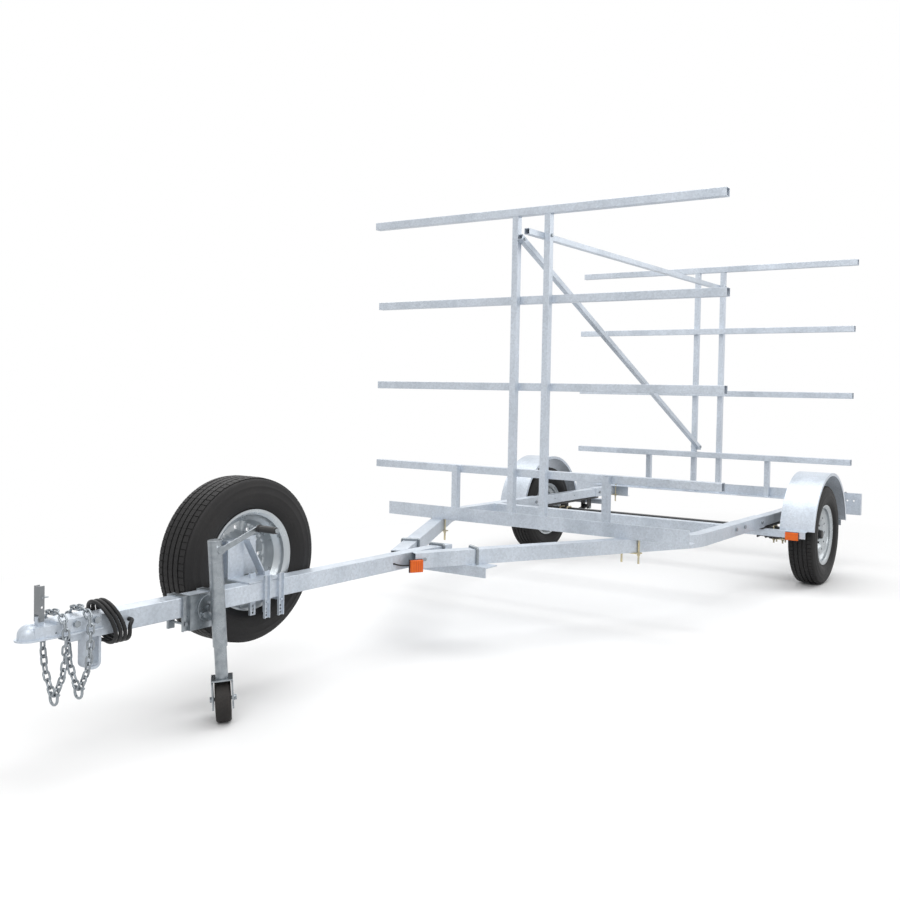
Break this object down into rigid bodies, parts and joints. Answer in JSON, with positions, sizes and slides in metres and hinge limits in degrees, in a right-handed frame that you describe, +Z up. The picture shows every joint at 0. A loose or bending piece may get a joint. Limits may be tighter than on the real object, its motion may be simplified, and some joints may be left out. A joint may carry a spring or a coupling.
{
  "type": "canoe trailer",
  "caption": "Galvanised single-axle road trailer with two upright canoe racks, a long drawbar, jockey wheel, coiled cable and a spare wheel.",
  "frame": {"origin": "middle of the trailer's box in plan, at floor level under the road tyres", "axes": "+Y along the trailer from the coupling to the tail, +X to the side of the jockey wheel, +Z up"},
  "size_m": [2.186, 5.108, 2.06],
  "materials": {
    "galvanised_steel": "hot-dip galvanised, satin with a faint spangle",
    "silver_rim_steel": "smooth silver, satin",
    "bright_zinc": "zinc plated, satin",
    "yellow_zinc": "yellow passivated zinc, satin",
    "black_painted_steel": "black, satin",
    "black_plastic": "black, matte",
    "black_cable_sheath": "black, satin",
    "amber_lens": "amber, glossy",
    "tyre_rubber": "black, matte",
    "jockey_rubber": "dark grey, matte",
    "lever_grey_paint": "pale grey, satin",
    "bearing_steel": "ground, bright"
  },
  "bodies": {
    "chassis": {"drawbar": "galvanised_steel", "vee_plate": "galvanised_steel", "front_rails": "galvanised_steel", "axle_rails": "galvanised_steel", "rear_rails": "galvanised_steel", "chassis_crossmember": "galvanised_steel", "front_base_angle": "galvanised_steel", "rear_base_angle": "galvanised_steel", "tail_brackets": "galvanised_steel", "frame_bolts": "bright_zinc", "rack_clamps": "yellow_zinc", "rack_uprights": "galvanised_steel", "rack_stubs": "galvanised_steel", "front_bars": "galvanised_steel", "rear_bars": "galvanised_steel", "rack_braces": "galvanised_steel", "mudguards": "galvanised_steel", "mudguard_stays": "galvanised_steel", "side_lamp_bases": "black_plastic", "side_lamp_lenses": "amber_lens", "lamp_leads": "black_cable_sheath", "spring_hangers": "black_painted_steel", "spring_pins": "bright_zinc", "leaf_springs": "black_painted_steel", "coupling_housing": "galvanised_steel", "safety_loop": "galvanised_steel", "chain_wraps": "bright_zinc", "wiring_cable": "black_cable_sheath", "wiring_plug": "black_plastic", "jockey_clamp": "bright_zinc", "spare_carrier": "galvanised_steel", "spare_rim": "silver_rim_steel", "spare_tyre": "tyre_rubber"},
    "axle": {"axle_beam": "black_painted_steel", "spring_seats": "yellow_zinc"},
    "left_wheel": {"left_hub": "black_painted_steel", "left_bearings": "bearing_steel", "left_rim": "silver_rim_steel", "left_tyre": "tyre_rubber", "left_wheel_nuts": "bright_zinc", "left_hub_cap": "black_plastic"},
    "right_wheel": {"right_hub": "black_painted_steel", "right_bearings": "bearing_steel", "right_rim": "silver_rim_steel", "right_tyre": "tyre_rubber", "right_wheel_nuts": "bright_zinc", "right_hub_cap": "black_plastic"},
    "coupling_lever": {"coupling_lever": "lever_grey_paint"},
    "coupling_trigger": {"coupling_trigger": "bright_zinc"},
    "coupling_tongue": {"coupling_tongue": "bright_zinc"},
    "front_chain": {"front_chain": "bright_zinc"},
    "rear_chain": {"rear_chain": "bright_zinc"},
    "jockey_swing": {"jockey_outer_tube": "bright_zinc"},
    "jockey_lock_pin": {"jockey_lock_pin": "bright_zinc"},
    "jockey_crank": {"jockey_crank": "bright_zinc"},
    "jockey_grip": {"jockey_grip": "black_plastic"},
    "jockey_screw": {"jockey_screw": "bright_zinc"},
    "jockey_inner_tube": {"jockey_inner_tube": "bright_zinc"},
    "jockey_fork": {"jockey_fork": "bright_zinc"},
    "jockey_wheel": {"jockey_wheel": "jockey_rubber"}
  },
  "joints": [
    {"name": "axle_bounce", "type": "slide", "parent": "chassis", "child": "axle", "axis": [0, 0, 1], "range_m": [-0.03, 0.022], "stiffness_N_per_m": 90000, "springref_m": -0.0145, "deforming": ["leaf_springs"]},
    {"name": "left_wheel_spin", "type": "hinge", "parent": "axle", "child": "left_wheel", "pos_m": [0.985, 1.813, 0.298], "axis": [1, 0, 0], "continuous": true},
    {"name": "right_wheel_spin", "type": "hinge", "parent": "axle", "child": "right_wheel", "pos_m": [-0.985, 1.813, 0.298], "axis": [1, 0, 0], "continuous": true},
    {"name": "lever_lift", "type": "hinge", "parent": "chassis", "child": "coupling_lever", "pos_m": [0, -2.487, 0.4428], "axis": [1, 0, 0], "range_deg": [-38, 0]},
    {"name": "trigger_press", "type": "hinge", "parent": "coupling_lever", "child": "coupling_trigger", "pos_m": [0, -2.486, 0.5048], "axis": [1, 0, 0], "range_deg": [-8, 0], "stiffness_Nm_per_rad": 0.6},
    {"name": "tongue_close", "type": "hinge", "parent": "chassis", "child": "coupling_tongue", "pos_m": [0, -2.457, 0.4018], "axis": [1, 0, 0], "range_deg": [-4, 4]},
    {"name": "front_chain_swing", "type": "hinge", "parent": "chassis", "child": "front_chain", "pos_m": [0, -2.442, 0.38687], "axis": [1, 0, 0], "range_deg": [-20, 3]},
    {"name": "rear_chain_swing", "type": "hinge", "parent": "chassis", "child": "rear_chain", "pos_m": [0, -2.366, 0.38687], "axis": [1, 0, 0], "range_deg": [-3, 10]},
    {"name": "jockey_swing", "type": "hinge", "parent": "chassis", "child": "jockey_swing", "pos_m": [0.06, -1.94, 0.385], "axis": [1, 0, 0], "range_deg": [0, 50]},
    {"name": "lock_pin_slide", "type": "slide", "parent": "jockey_swing", "child": "jockey_lock_pin", "axis": [1, 0, 0], "range_m": [0, 0.008]},
    {"name": "crank_turn", "type": "hinge", "parent": "jockey_swing", "child": "jockey_crank", "pos_m": [0.12, -1.9557, 0.5844], "axis": [1, 0, 0], "range_deg": [-6481, 10801]},
    {"name": "grip_spin", "type": "hinge", "parent": "jockey_crank", "child": "jockey_grip", "pos_m": [0.17, -1.8053, 0.6391], "axis": [1, 0, 0], "continuous": true},
    {"name": "screw_turn", "type": "hinge", "parent": "jockey_swing", "child": "jockey_screw", "pos_m": [0.095, -1.9557, 0.5844], "axis": [0, 0.0785, -0.9969], "range_deg": [-6481, 10801]},
    {"name": "jockey_height", "type": "slide", "parent": "jockey_swing", "child": "jockey_inner_tube", "axis": [0, 0.0785, -0.9969], "range_m": [-0.09, 0.15]},
    {"name": "castor_swivel", "type": "hinge", "parent": "jockey_inner_tube", "child": "jockey_fork", "pos_m": [0.095, -1.91555, 0.07439], "axis": [0, -0.0785, 0.9969], "continuous": true},
    {"name": "jockey_wheel_spin", "type": "hinge", "parent": "jockey_fork", "child": "jockey_wheel", "pos_m": [0.07202, -1.89633, 0.0759], "axis": [0.6428, 0.7637, 0.0601], "continuous": true}
  ],
  "couplings": [
    {"joint": "screw_turn", "follows": "jockey_height", "rad_per_m": 1256.6},
    {"joint": "crank_turn", "follows": "jockey_height", "rad_per_m": 1256.6},
    {"joint": "tongue_close", "follows": "lever_lift", "ratio": 0.1}
  ]
}
